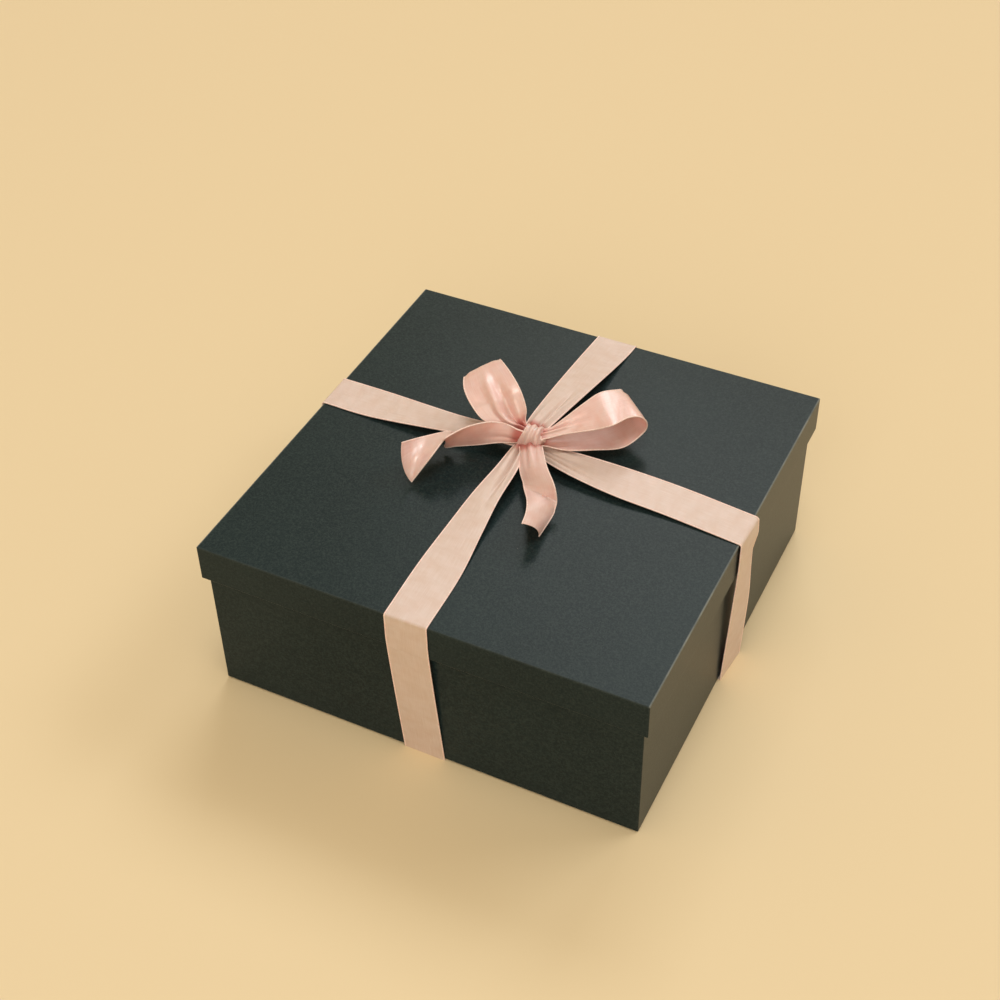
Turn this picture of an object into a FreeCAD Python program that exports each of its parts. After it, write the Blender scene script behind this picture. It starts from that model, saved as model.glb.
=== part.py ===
# A square rigid gift box with a lift-off lid, tied crosswise with a satin ribbon and a bow.
# Millimetres, +Z up. The origin is on the table under the middle of the box, and +Y is the back.
import FreeCAD
import Part
import Sketcher
import math
import os

Vector = FreeCAD.Vector

doc = FreeCAD.newDocument("GiftBox")
sheet = doc.addObject("Spreadsheet::Sheet", "Sizes")

# Driving sizes, in millimetres.
SIZES = [
    ("lid_side", 270, "outside of the square lid"),
    ("lid_top", 109, "top of the lid above the table"),
    ("skirt_depth", 24, "height of the lid's skirt"),
    ("board_thick", 1.8, "greyboard of the walls, floor and lid"),
    ("paper_thick", 0.3, "embossed covering paper and lining paper"),
    ("glue_line", 0.2, "glue between paper and board"),
    ("turn_in", 18, "covering paper folded round the open edge"),
    ("edge_round", 0.6, "rounding of the covered edges"),
    ("lid_fit", 0.3, "play between skirt and base on each side"),
    ("seat_gap", 0.1, "lid lining above the base's rim"),
    ("butt_gap", 0.1, "glued butt joint between two boards"),
    ("stay_thick", 0.15, "paper tape round a board corner"),
    ("stay_leg", 18, "tape on each side of the corner"),
    ("ribbon_width", 25, "satin ribbon across"),
    ("ribbon_thick", 0.35, "satin ribbon through"),
    ("ribbon_gap", 0.3, "ribbon clear of the box"),
    ("strap_gap", 0.1, "ribbon clear of ribbon where the ties part"),
    ("strap_ramp", 3, "length in which one strap climbs over the other"),
    ("front_run_x", -3.5, "ribbon at the lid's front edge, right of the middle"),
    ("back_run_x", 1.8, "ribbon at the lid's back edge, right of the middle"),
    ("left_run_y", 16.4, "ribbon at the lid's left edge, behind the middle"),
    ("right_run_y", 6.4, "ribbon at the lid's right edge, behind the middle"),
    ("strap_x", 1.2, "front to back strap under the box, right of the middle"),
    ("strap_y", 8, "left to right strap under the box, behind the middle"),
    ("tight_slack", 0.5, "front and back ribbon off the skirt"),
    ("tight_bend", 1.2, "bend of the front and back ribbon over the lid's edge"),
    ("loose_slack", 2.6, "left and right ribbon off the skirt"),
    ("loose_bend", 3.3, "bend of the left and right ribbon over the lid's edge"),
    ("knot_x", -1.2, "middle of the knot, right of the middle of the box"),
    ("knot_y", 12.5, "middle of the knot, behind the middle of the box"),
    ("knot_rise", 16, "middle of the knot above the lid"),
    ("knot_length", 12, "band of the knot along the loops"),
    ("knot_radius", 6.5, "band of the knot round the gathered ribbon"),
    ("knot_pleats", 3, "pleats across the band"),
    ("pleat_depth", 0.6, "valley between two pleats"),
    ("pleat_flank", 1.2, "slope on each side of a pleat"),
    ("bow_gap", 0.3, "gathered ribbon ends off the band"),
    ("cup_share", 0.1, "hollow of a gathered ribbon for each millimetre it is drawn in"),
    ("cup_least", 0.02, "hollow of a ribbon at its full width"),
]
for row, (name, value, note) in enumerate(SIZES, start=1):
    sheet.set(f"A{row}", str(value))
    sheet.setAlias(f"A{row}", name)
    sheet.set(f"B{row}", note)
doc.recompute()

# Sizes that follow from the driving ones, as expressions.
SKIN = "(Sizes.paper_thick + Sizes.glue_line)"
SHELL = f"(2 * {SKIN} + Sizes.board_thick)"
LID_INSIDE = f"(Sizes.lid_side - 2 * {SHELL})"
BASE_SIDE = f"({LID_INSIDE} - 2 * Sizes.lid_fit)"
BASE_INSIDE = f"({BASE_SIDE} - 2 * {SHELL})"
FOOT = "(2 * Sizes.ribbon_thick + 2 * Sizes.strap_gap)"
RIM = f"(Sizes.lid_top - {SHELL} - Sizes.seat_gap)"
SKIRT_FOOT = "(Sizes.lid_top - Sizes.skirt_depth)"

CURVE_STEPS = 4

pieces = []


def size(name):
    return float(sheet.get(name))


def origin_feature(body, role):
    return next(f for f in body.Origin.OriginFeatures if f.Role == role)


def new_body(label):
    body = doc.addObject("PartDesign::Body", label)
    pieces.append(body)
    return body


def new_sketch(body, name, role, level="0"):
    sketch = body.newObject("Sketcher::SketchObject", name)
    sketch.AttachmentSupport = [(origin_feature(body, role), "")]
    sketch.MapMode = "FlatFace"
    sketch.setExpression("AttachmentOffset.Base.z", level)
    return sketch


def add_polygon(sketch, points):
    """A closed outline whose corners are given as pairs of expressions."""
    first = sketch.GeometryCount
    count = len(points)
    turns = [math.tau * k / count for k in range(count)]
    start = [Vector(math.cos(turn), math.sin(turn), 0) for turn in turns]
    for k in range(count):
        sketch.addGeometry(Part.LineSegment(start[k], start[(k + 1) % count]), False)
    for k in range(count):
        sketch.addConstraint(Sketcher.Constraint("Coincident", first + k, 2, first + (k + 1) % count, 1))
    for k, corner in enumerate(points):
        for kind, at, expression in zip(("DistanceX", "DistanceY"), start[k], corner):
            index = sketch.addConstraint(Sketcher.Constraint(kind, -1, 1, first + k, 1, at))
            sketch.setExpression(f"Constraints[{index}]", expression)


def add_square(sketch, side):
    half = f"({side}) / 2"
    add_polygon(sketch, [(half, half), (f"-{half}", half), (f"-{half}", f"-{half}"), (half, f"-{half}")])


def pad(body, sketch, name, length):
    feature = body.newObject("PartDesign::Pad", name)
    feature.Profile = sketch
    feature.setExpression("Length", length)
    return feature


def pocket(body, sketch, name, length, upward):
    """Cuts from the sketch's level; the volume shows that it cut something."""
    doc.recompute()
    before = body.Shape.Volume
    feature = body.newObject("PartDesign::Pocket", name)
    feature.Profile = sketch
    feature.Reversed = upward
    feature.setExpression("Length", length)
    doc.recompute()
    if not body.Shape.Volume < before:
        raise ValueError(f"{body.Label}: {name} cuts nothing")
    return feature


def fillet(body, base, name, radius, edges):
    feature = body.newObject("PartDesign::Fillet", name)
    feature.Base = (base, edges)
    feature.setExpression("Radius", radius)
    return feature


def board(label, length, width, height, x, y, z):
    box = doc.addObject("Part::Box", label)
    for target, expression in zip(
        ("Length", "Width", "Height", "Placement.Base.x", "Placement.Base.y", "Placement.Base.z"),
        (length, width, height, x, y, z),
    ):
        box.setExpression(target, expression)
    pieces.append(box)
    return box


def board_frame(names, face, low, height):
    """Four boards round a square: front and back run through, left and right stand between them."""
    front, back, left, right = names
    thick = "Sizes.board_thick"
    between = f"({face} - {thick} - Sizes.butt_gap)"
    board(front, f"2 * {face}", thick, height, f"-{face}", f"-{face}", low)
    board(back, f"2 * {face}", thick, height, f"-{face}", f"{face} - {thick}", low)
    board(left, thick, f"2 * {between}", height, f"-{face}", f"-{between}", low)
    board(right, thick, f"2 * {between}", height, f"{face} - {thick}", f"-{between}", low)


def sheet_of_paper(label, side, low):
    body = new_body(label)
    outline = new_sketch(body, label + "_outline", "XY_Plane", low)
    add_square(outline, side)
    pad(body, outline, label + "_sheet", "Sizes.paper_thick")


def corner_stays(label, face, low, height):
    """Paper tape round each of the four outer corners of a board frame."""
    body = new_body(label)
    body.AllowCompound = True
    outside = f"({face} + Sizes.stay_thick)"
    end = f"({outside} - Sizes.stay_leg)"
    profile = new_sketch(body, label + "_profile", "XY_Plane", low)
    corners = [(outside, outside), (end, outside), (end, face), (face, face), (face, end), (outside, end)]
    add_polygon(profile, corners)
    tape = pad(body, profile, label + "_tape", height)
    corner = body.newObject("PartDesign::PolarPattern", label + "_corners")
    corner.Originals = [tape]
    corner.Axis = (origin_feature(body, "Z_Axis"), [""])
    corner.Angle = 360
    corner.Occurrences = 4
    body.Tip = corner


def paper_wrap(label, side, low, high, closed_at_top):
    """Covering paper of a board tray: outside, round the open edge, and folded in."""
    body = new_body(label)
    paper = "Sizes.paper_thick"
    inside = f"({side} - 2 * {SHELL})"
    block_outline = new_sketch(body, label + "_outline", "XY_Plane", low)
    add_square(block_outline, side)
    pad(body, block_outline, label + "_block", f"{high} - {low}")
    room = new_sketch(body, label + "_room_outline", "XY_Plane", f"{low} + {paper}")
    add_square(room, f"{side} - 2 * {paper}")
    pocket(body, room, label + "_room", f"{high} - {low} - 2 * {paper}", True)
    mouth = new_sketch(body, label + "_mouth_outline", "XY_Plane", low if closed_at_top else high)
    add_square(mouth, inside)
    pocket(body, mouth, label + "_mouth", paper, closed_at_top)
    fold_level = f"{low} + {paper}" if closed_at_top else f"{high} - Sizes.turn_in"
    fold = new_sketch(body, label + "_fold_outline", "XY_Plane", fold_level)
    add_square(fold, inside)
    add_square(fold, f"{inside} + 2 * {paper}")
    turned = pad(body, fold, label + "_fold", f"Sizes.turn_in - {paper}")
    doc.recompute()
    box = turned.Shape.BoundBox
    closed = box.ZMax if closed_at_top else box.ZMin
    outer = []
    for number, edge in enumerate(turned.Shape.Edges, start=1):
        ends = [v.Point for v in edge.Vertexes]
        at_corner = all(abs(abs(p.x) - box.XMax) + abs(abs(p.y) - box.YMax) < 1e-6 for p in ends)
        on_side = all(max(abs(p.x) - box.XMax, abs(p.y) - box.YMax) > -1e-6 for p in ends)
        on_end = on_side and all(abs(p.z - closed) < 1e-6 for p in ends)
        if on_end or at_corner and edge.Length > box.ZLength - 1e-6:
            outer.append(f"Edge{number}")
    fillet(body, turned, label + "_rounds", "Sizes.edge_round", outer)


def between(points, span, share):
    """A point on the smooth curve through the points, which keeps straight on past both ends."""
    line = [points[0] * 2 - points[1]] + points + [points[-1] * 2 - points[-2]]
    before, start, end, after = line[span : span + 4]
    return (
        start * 2
        + (end - before) * share
        + (before * 2 - start * 5 + end * 4 - after) * share**2
        + (start * 3 - before - end * 3 + after) * share**3
    ) * 0.5


def ribbon(label, stations, steps):
    """A ribbon lofted through cross-sections, each between the two edge points of a station.

    Each span between stations gets so many steps along a smooth curve. A section is a shallow
    arc across the ribbon, hollowed where the ribbon is drawn together and flat at its two ends.
    """
    half = size("ribbon_thick") / 2
    rows = [(span, step / steps) for span in range(len(stations) - 1) for step in range(steps)]
    rows.append((len(stations) - 2, 1))
    left_edge = [between([a for a, b in stations], span, share) for span, share in rows]
    right_edge = [between([b for a, b in stations], span, share) for span, share in rows]
    middles = [(a + b) * 0.5 for a, b in zip(left_edge, right_edge)]
    last = len(rows) - 1
    sections = []
    for k, (a, b) in enumerate(zip(left_edge, right_edge)):
        along = middles[min(k + 1, last)] - middles[max(k - 1, 0)]
        out = (b - a).cross(along)
        out.normalize()
        drawn_in = max(size("ribbon_width") - (b - a).Length, 0)
        from_end = min(k, last - k, steps) / steps
        crown = middles[k] + out * (size("cup_least") + size("cup_share") * drawn_in * from_end)
        skin = out * half
        outline = [
            Part.Arc(a - skin, crown - skin, b - skin).toShape(),
            Part.makeLine(b - skin, b + skin),
            Part.Arc(b + skin, crown + skin, a + skin).toShape(),
            Part.makeLine(a + skin, a - skin),
        ]
        sections.append(Part.Wire(outline))
    feature = doc.addObject("Part::Feature", label)
    feature.Shape = Part.makeLoft(sections, True, True)
    pieces.append(feature)
    return feature


# Tray of the base: floor and walls of greyboard.
WALL_FACE = f"({BASE_SIDE} / 2 - {SKIN})"
WALL_FOOT = f"({FOOT} + {SKIN})"
WALL_HEIGHT = f"({RIM} - {SKIN} - {WALL_FOOT})"
FLOOR_HALF = f"({WALL_FACE} - Sizes.board_thick - Sizes.butt_gap)"
FLOOR_SIDE = f"2 * {FLOOR_HALF}"
FLOOR_EDGE = f"-{FLOOR_HALF}"
board("base_floor_board", FLOOR_SIDE, FLOOR_SIDE, "Sizes.board_thick", FLOOR_EDGE, FLOOR_EDGE, WALL_FOOT)
board_frame(
    ("base_front_wall_board", "base_back_wall_board", "base_left_wall_board", "base_right_wall_board"),
    WALL_FACE,
    WALL_FOOT,
    WALL_HEIGHT,
)
corner_stays("base_corner_stays", WALL_FACE, WALL_FOOT, WALL_HEIGHT)

# Covering paper of the base, and the lining of its floor and walls.
paper_wrap("base_wrap", BASE_SIDE, FOOT, RIM, False)
FLOOR_LINING = f"({WALL_FOOT} + Sizes.board_thick + Sizes.glue_line)"
sheet_of_paper("base_floor_lining", f"{BASE_INSIDE} - 2 * Sizes.butt_gap", FLOOR_LINING)
lining = new_body("base_wall_lining")
lining_outline = new_sketch(lining, "base_wall_lining_outline", "XY_Plane", FLOOR_LINING)
add_square(lining_outline, BASE_INSIDE)
add_square(lining_outline, f"{BASE_INSIDE} + 2 * Sizes.paper_thick")
LINING_TOP = f"({RIM} - Sizes.turn_in - Sizes.butt_gap)"
pad(lining, lining_outline, "base_wall_lining_band", f"{LINING_TOP} - {FLOOR_LINING}")

# Lid: top and skirt of greyboard, covered, with a lining under the top.
SKIRT_FACE = f"(Sizes.lid_side / 2 - {SKIN})"
TOP_FOOT = f"(Sizes.lid_top - {SKIN} - Sizes.board_thick)"
SKIRT_LOW = f"({SKIRT_FOOT} + {SKIN})"
SKIRT_HEIGHT = f"({TOP_FOOT} - Sizes.butt_gap - {SKIRT_LOW})"
TOP_SIDE = f"2 * {SKIRT_FACE}"
TOP_EDGE = f"-{SKIRT_FACE}"
board("lid_top_board", TOP_SIDE, TOP_SIDE, "Sizes.board_thick", TOP_EDGE, TOP_EDGE, TOP_FOOT)
board_frame(
    ("lid_front_skirt_board", "lid_back_skirt_board", "lid_left_skirt_board", "lid_right_skirt_board"),
    SKIRT_FACE,
    SKIRT_LOW,
    SKIRT_HEIGHT,
)
corner_stays("lid_corner_stays", SKIRT_FACE, SKIRT_LOW, SKIRT_HEIGHT)
paper_wrap("lid_wrap", "Sizes.lid_side", SKIRT_FOOT, "Sizes.lid_top", True)
sheet_of_paper("lid_lining", f"{LID_INSIDE} - 2 * Sizes.butt_gap", f"{TOP_FOOT} - {SKIN}")

# Straps of ribbon under the base: one flat on the table, the other climbing over it.
STRAP_END = f"({BASE_SIDE} / 2 + Sizes.ribbon_gap + Sizes.ribbon_thick)"
board(
    "ribbon_strap_front_back",
    "Sizes.ribbon_width",
    f"2 * {STRAP_END}",
    "Sizes.ribbon_thick",
    "Sizes.strap_x - Sizes.ribbon_width / 2",
    f"-{STRAP_END}",
    "0",
)
CLIMB = "(Sizes.ribbon_thick + Sizes.strap_gap)"
NEAR = "(Sizes.ribbon_width / 2 + Sizes.strap_gap)"
FAR = f"({NEAR} + Sizes.strap_ramp)"
route = [
    (f"-{STRAP_END}", "0"),
    (f"Sizes.strap_x - {FAR}", "0"),
    (f"Sizes.strap_x - {NEAR}", CLIMB),
    (f"Sizes.strap_x + {NEAR}", CLIMB),
    (f"Sizes.strap_x + {FAR}", "0"),
    (STRAP_END, "0"),
]
crossing = new_body("ribbon_strap_left_right")
crossing_outline = new_sketch(crossing, "ribbon_strap_outline", "XZ_Plane")
upper_face = [(x, f"{z} + Sizes.ribbon_thick") for x, z in reversed(route)]
add_polygon(crossing_outline, route + upper_face)
pad(crossing, crossing_outline, "ribbon_strap_band", "Sizes.ribbon_width").SideType = "Symmetric"
crossing.setExpression("Placement.Base.y", "Sizes.strap_y")

# Knot: a band of ribbon drawn tight round the gathered ribbon, lying along the loops. Its
# profile is turned about the band's own axis and has a flat-topped ridge for each pleat.
knot = new_body("bow_knot")
knot_outline = new_sketch(knot, "bow_knot_outline", "XZ_Plane")
PLEAT = "(Sizes.knot_length / Sizes.knot_pleats)"
VALLEY = "(Sizes.knot_radius - Sizes.pleat_depth)"
profile = [("Sizes.knot_length / 2", "0"), ("-Sizes.knot_length / 2", "0")]
for number in range(int(size("knot_pleats"))):
    ridge = f"-Sizes.knot_length / 2 + {number} * {PLEAT}"
    profile.append((ridge, VALLEY))
    profile.append((f"{ridge} + Sizes.pleat_flank", "Sizes.knot_radius"))
    profile.append((f"{ridge} + {PLEAT} - Sizes.pleat_flank", "Sizes.knot_radius"))
profile.append(("Sizes.knot_length / 2", VALLEY))
add_polygon(knot_outline, profile)
band = knot.newObject("PartDesign::Revolution", "bow_knot_band")
band.Profile = knot_outline
band.ReferenceAxis = (origin_feature(knot, "X_Axis"), [""])
band.Angle = 360
knot.setExpression("Placement.Base.x", "Sizes.knot_x")
knot.setExpression("Placement.Base.y", "Sizes.knot_y")
knot.setExpression("Placement.Base.z", "Sizes.lid_top + Sizes.knot_rise")

knot_middle = Vector(size("knot_x"), size("knot_y"), size("lid_top") + size("knot_rise"))
band_end = size("knot_length") / 2 + size("bow_gap")
band_face = size("knot_radius") + size("bow_gap")

# Loops and tails, from the knot's middle: the two edges of the ribbon at each station.
LEFT_LOOP = [
    ((-band_end, -3, 2), (-band_end, 3, 3.5)),
    ((-band_end - 4, -4, 2.6), (-band_end - 0.6, 5.5, 4.6)),
    ((-25, -6.5, 6.5), (-7, 7.5, 12)),
    ((-34, -4.5, 12.5), (-13.5, 12.5, 19.5)),
    ((-43, 3, 16.5), (-22.5, 21, 23.5)),
    ((-50.5, 16, 15), (-35, 32.5, 21.5)),
    ((-51, 19.5, 8), (-33, 33.5, 13)),
    ((-45, 15.5, 2), (-24, 25.5, 6)),
    ((-31, 9.5, -1), (-13, 15.5, 2)),
    ((-band_end - 4, -0.5, -1.6), (-band_end - 3, 6, -0.2)),
    ((-band_end, -2, -1.5), (-band_end, 4.5, -0.5)),
]
RIGHT_LOOP = [
    ((band_end, 5, 2), (band_end, -2, 1)),
    ((band_end + 3, 6.5, 3), (band_end + 4, -1, 1.6)),
    ((15, 12.5, 7), (20.5, 5.5, 4)),
    ((23, 24.5, 13), (36, 11, 8.5)),
    ((29, 34, 16), (45.5, 14.2, 12.8)),
    ((36, 42.5, 14.5), (50.5, 26.5, 11)),
    ((37.5, 51.5, 8), (58, 35.5, 3)),
    ((38.5, 48, -1), (56.5, 35, -5)),
    ((31, 37.5, -6), (49, 22.5, -9)),
    ((21, 23.5, -7), (35, 13.5, -9)),
    ((13, 11.5, -4.5), (21, 4, -7)),
    ((band_end + 3, 6, -2.6), (band_end + 4, -1.2, -3.8)),
    ((band_end, 4.5, -2), (band_end, -2, -3)),
]
LEFT_TAIL = [
    ((-band_end, -4, -3.5), (-band_end, -5, 4)),
    ((-15, -8, -5), (-13.5, -4.5, 8)),
    ((-27.5, -10, -9.5), (-21.5, -12, 11)),
    ((-39, -15.5, -10.5), (-30.5, -20.5, 10.5)),
    ((-46.5, -17.5, -8), (-37, -31, 9)),
    ((-46.5, -13.5, -4), (-40.5, -32.5, 4)),
    ((-56, -24, -3), (-42, -43, 1)),
    ((-59, -46, 8), (-50.5, -52, -14)),
]
FRONT_TAIL = [
    ((-2.5, -0.85 * band_face, -0.62 * band_face), (8.5, -0.85 * band_face, -0.6 * band_face)),
    ((4.5, -22.5, -6), (20.5, -21.5, 1)),
    ((12, -33, -7), (30.5, -35, 2)),
    ((20.5, -46.5, -4.5), (34.5, -37.5, -7)),
    ((26, -59, -1), (34.5, -44.5, -12.5)),
    ((29, -70, 1), (35, -62, -13)),
]
for label, offsets in (
    ("bow_loop_left", LEFT_LOOP),
    ("bow_loop_right", RIGHT_LOOP),
    ("bow_tail_left", LEFT_TAIL),
    ("bow_tail_front", FRONT_TAIL),
):
    stations = [(knot_middle + Vector(*a), knot_middle + Vector(*b)) for a, b in offsets]
    ribbon(label, stations, CURVE_STEPS)

# Ribbon over the lid and down its sides. Towards the knot it narrows and rises off the lid.
# Below the lid's skirt it slants in to the foot of the base.
# Where each run meets the knot: distance out, sideways, rise, width.
under_band = size("knot_rise") - band_face - size("ribbon_gap") - size("ribbon_thick")
FRONT_TUCK = (5, -3.2, under_band + 0.7, 8)
BACK_TUCK = (band_face + 0.9, 0.6, 13.5, 11)
LEFT_TUCK = (band_end - 1.3, 1, under_band - 0.6, 9)
RIGHT_TUCK = (band_end - 1.8, -0.5, under_band - 0.4, 9)
# From there on: share of the way to the lid's edge, sideways from the knot, rise, width.
FRONT_GATHER = [
    (0.07, -3.4, 8.8, 9),
    (0.18, -2.4, 9.2, 12),
    (0.34, -3.8, 7, 15.5),
    (0.51, -4.3, 3, 20),
    (0.73, -3.6, 0.3, 25),
]
BACK_GATHER = [
    (0.1, 1, 16, 14),
    (0.4, 1.6, 11, 19),
    (0.75, 1.7, 3, 23.5),
    (0.92, 2.4, 0.3, 25),
]
LEFT_GATHER = [
    (0.065, 1, under_band - 0.6, 11),
    (0.19, 2.5, 6.8, 13),
    (0.39, 1, 5.5, 16),
    (0.76, 3, 0.9, 24.5),
]
RIGHT_GATHER = [
    (0.085, -0.5, 6, 12),
    (0.22, -1, 4.5, 19),
    (0.43, -2, 3, 24),
    (0.68, -2.5, 1.2, 25),
]
BEND_STEPS = 8
half_thick = size("ribbon_thick") / 2
lay_level = size("lid_top") + size("ribbon_gap") + half_thick
lid_half = size("lid_side") / 2
lid_shell = 2 * (size("paper_thick") + size("glue_line")) + size("board_thick")
base_half = lid_half - lid_shell - size("lid_fit")
foot_out = base_half + size("ribbon_gap") + half_thick
foot_level = size("ribbon_thick") + size("strap_gap")
skirt_end = size("lid_top") - size("skirt_depth")
full = size("ribbon_width")


def station(outward, out, side, level, width):
    """The two edges of a run, so far out from the middle of the box and so far to the side."""
    middle = outward * out + Vector(abs(outward.y), abs(outward.x), 0) * side + Vector(0, 0, level)
    across = outward.cross(Vector(0, 0, 1)) * (width / 2)
    return middle - across, middle + across


for name, outward, tuck, gather, run, strap, hold in (
    ("front", Vector(0, -1, 0), FRONT_TUCK, FRONT_GATHER, "front_run_x", "strap_x", "tight"),
    ("back", Vector(0, 1, 0), BACK_TUCK, BACK_GATHER, "back_run_x", "strap_x", "tight"),
    ("left", Vector(-1, 0, 0), LEFT_TUCK, LEFT_GATHER, "left_run_y", "strap_y", "loose"),
    ("right", Vector(1, 0, 0), RIGHT_TUCK, RIGHT_GATHER, "right_run_y", "strap_y", "loose"),
):
    knot_out = knot_middle.dot(outward)
    knot_side = knot_middle.x * abs(outward.y) + knot_middle.y * abs(outward.x)
    bend = size(hold + "_bend")
    skirt_out = lid_half + size(hold + "_slack") + half_thick
    bend_out = skirt_out - bend
    way = bend_out - size("ribbon_gap") - knot_out
    rows = [tuck] + [(way * share, side, rise, width) for share, side, rise, width in gather]
    arm = []
    for out, side, rise, width in rows:
        arm.append(station(outward, knot_out + out, knot_side + side, lay_level + rise, width))
    arm.append(station(outward, knot_out + way, size(run), lay_level, full))
    ribbon("ribbon_arm_" + name, arm, CURVE_STEPS)

    drop = []
    for step in range(BEND_STEPS + 1):
        turn = math.pi / 2 * step / BEND_STEPS
        out = bend_out + bend * math.sin(turn)
        drop.append(station(outward, out, size(run), lay_level - bend * (1 - math.cos(turn)), full))
    drop.append(station(outward, skirt_out, size(run), skirt_end, full))
    ribbon("ribbon_drop_" + name, drop, 1)

    leg_top = skirt_end - size("strap_gap")
    leg = [
        station(outward, skirt_out, size(run), leg_top, full),
        station(outward, foot_out, size(strap), foot_level, full),
    ]
    ribbon("ribbon_leg_" + name, leg, 1)

doc.recompute()
for item in doc.Objects:
    if any(state in ("Invalid", "Error") for state in item.State):
        raise ValueError(f"{item.Label} failed")
for piece in pieces:
    if piece.Shape.isNull() or not piece.Shape.isValid():
        raise ValueError(f"{piece.Label} has no valid shape")

os.makedirs("parts", exist_ok=True)
for piece in pieces:
    piece.Shape.exportStep(f"parts/{piece.Label}.step")
print(len(pieces), "pieces")
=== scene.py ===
import math

import bpy
import numpy as np
from mathutils import Euler, Matrix, Vector


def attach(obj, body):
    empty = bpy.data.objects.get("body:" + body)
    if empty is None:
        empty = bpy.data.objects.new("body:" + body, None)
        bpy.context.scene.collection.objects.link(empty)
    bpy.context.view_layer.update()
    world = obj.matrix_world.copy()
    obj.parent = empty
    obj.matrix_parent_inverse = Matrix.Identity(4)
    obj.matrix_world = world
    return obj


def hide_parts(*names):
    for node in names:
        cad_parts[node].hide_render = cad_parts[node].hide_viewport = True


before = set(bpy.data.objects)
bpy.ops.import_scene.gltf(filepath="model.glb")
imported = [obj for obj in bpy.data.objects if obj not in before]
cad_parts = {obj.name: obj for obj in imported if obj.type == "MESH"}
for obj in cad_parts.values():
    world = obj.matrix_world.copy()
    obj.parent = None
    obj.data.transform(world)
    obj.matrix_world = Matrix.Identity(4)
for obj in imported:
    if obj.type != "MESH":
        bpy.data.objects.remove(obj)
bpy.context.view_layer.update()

# Greyboard: the walls, floor and lid panels are die-cut from grey pulp board 1.8 mm thick.
# They are glued up as open trays and hidden by the paper, so only a cut edge would ever show.


def linear(colour):
    """An sRGB hex colour as linear red, green, blue and alpha."""
    channels = [int(colour[k : k + 2], 16) / 255 for k in (1, 3, 5)]
    return [c / 12.92 if c <= 0.04045 else ((c + 0.055) / 1.055) ** 2.4 for c in channels] + [1.0]


def add(tree, kind, inputs=None, **settings):
    """One node with its settings. An input is a value, or another node's output to link."""
    made = tree.nodes.new(kind)
    for name, value in settings.items():
        setattr(made, name, value)
    for name, value in (inputs or {}).items():
        if isinstance(value, bpy.types.NodeSocket):
            tree.links.new(value, made.inputs[name])
        else:
            made.inputs[name].default_value = value
    return made


def new_material(name, roughness, ior):
    """A material of its own, with its node tree and its shader."""
    material = bpy.data.materials.new(name)
    material.use_nodes = True
    shader = material.node_tree.nodes["Principled BSDF"]
    shader.inputs["Roughness"].default_value = roughness
    shader.inputs["IOR"].default_value = ior
    return material, material.node_tree, shader


def finish_nodes(names, material):
    """Gives CAD pieces that stay in view their material."""
    for name in names:
        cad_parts[name].data.materials.clear()
        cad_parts[name].data.materials.append(material)


# Pressed recycled pulp: dull, with fibres and darker flecks a millimetre or two long.
greyboard, tree, shader = new_material("pulp_greyboard", roughness=0.92, ior=1.45)
place = add(tree, "ShaderNodeTexCoord").outputs["Object"]
FLECK_MM = 1.6
fibres = add(tree, "ShaderNodeTexNoise", {"Vector": place, "Scale": 1000 / FLECK_MM, "Detail": 4.0})
fleck = add(tree, "ShaderNodeValToRGB", {"Fac": fibres.outputs["Fac"]})
fleck.color_ramp.elements[0].color = linear("#756f66")
fleck.color_ramp.elements[1].color = linear("#a39c90")
tree.links.new(fleck.outputs["Color"], shader.inputs["Base Color"])
rough = {"Height": fibres.outputs["Fac"], "Strength": 0.4, "Distance": 0.0001}
tree.links.new(add(tree, "ShaderNodeBump", rough).outputs["Normal"], shader.inputs["Normal"])
finish_nodes([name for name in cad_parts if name.endswith("_board")], greyboard)

# Corner stays: gummed brown paper tape, wetted and pressed round each board corner.
# Kraft paper is warm, matt and faintly streaked along the machine's direction.
tape, tree, shader = new_material("gummed_kraft_paper", roughness=0.8, ior=1.45)
place = add(tree, "ShaderNodeTexCoord").outputs["Object"]
STREAK_MM = 0.8
grain = add(tree, "ShaderNodeMapping", {"Vector": place, "Scale": (1.0, 1.0, 0.1)})
streaks = add(tree, "ShaderNodeTexNoise", {"Vector": grain.outputs["Vector"], "Scale": 1000 / STREAK_MM})
kraft = add(tree, "ShaderNodeValToRGB", {"Fac": streaks.outputs["Fac"]})
kraft.color_ramp.elements[0].color = linear("#a9825a")
kraft.color_ramp.elements[1].color = linear("#bd9a70")
tree.links.new(kraft.outputs["Color"], shader.inputs["Base Color"])
finish_nodes(["base_corner_stays", "lid_corner_stays"], tape)

# Covering paper of base and lid: one dark sheet each, glued over the boards and round the open edge.
# It is embossed with a fine linen grain, and drawn paler along the edges and corners: rubbed wear, with
# a painted highlight along the top edges.
THREAD_MM = 0.7  # real linen emboss is about half a millimetre; drawn coarser to show
THREAD_RUN = 0.4  # how much a thread's pattern is drawn out along it
EDGE_BAND_MM = 1.0
CORNER_WEAR = 0.2
FOOT_WEAR = 0.25
MOTTLE_MM = 71.43
RUB_MM = 22.22
SPECK_GAP_MM = 26.32
SPECK_CORE, SPECK_EDGE = 0.012, 0.024  # shares of that gap
SPECK_CHANCE = 0.045
MIX_A, MIX_B, MIX_OUT = 6, 7, 2  # the colour sockets of a Mix node


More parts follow.
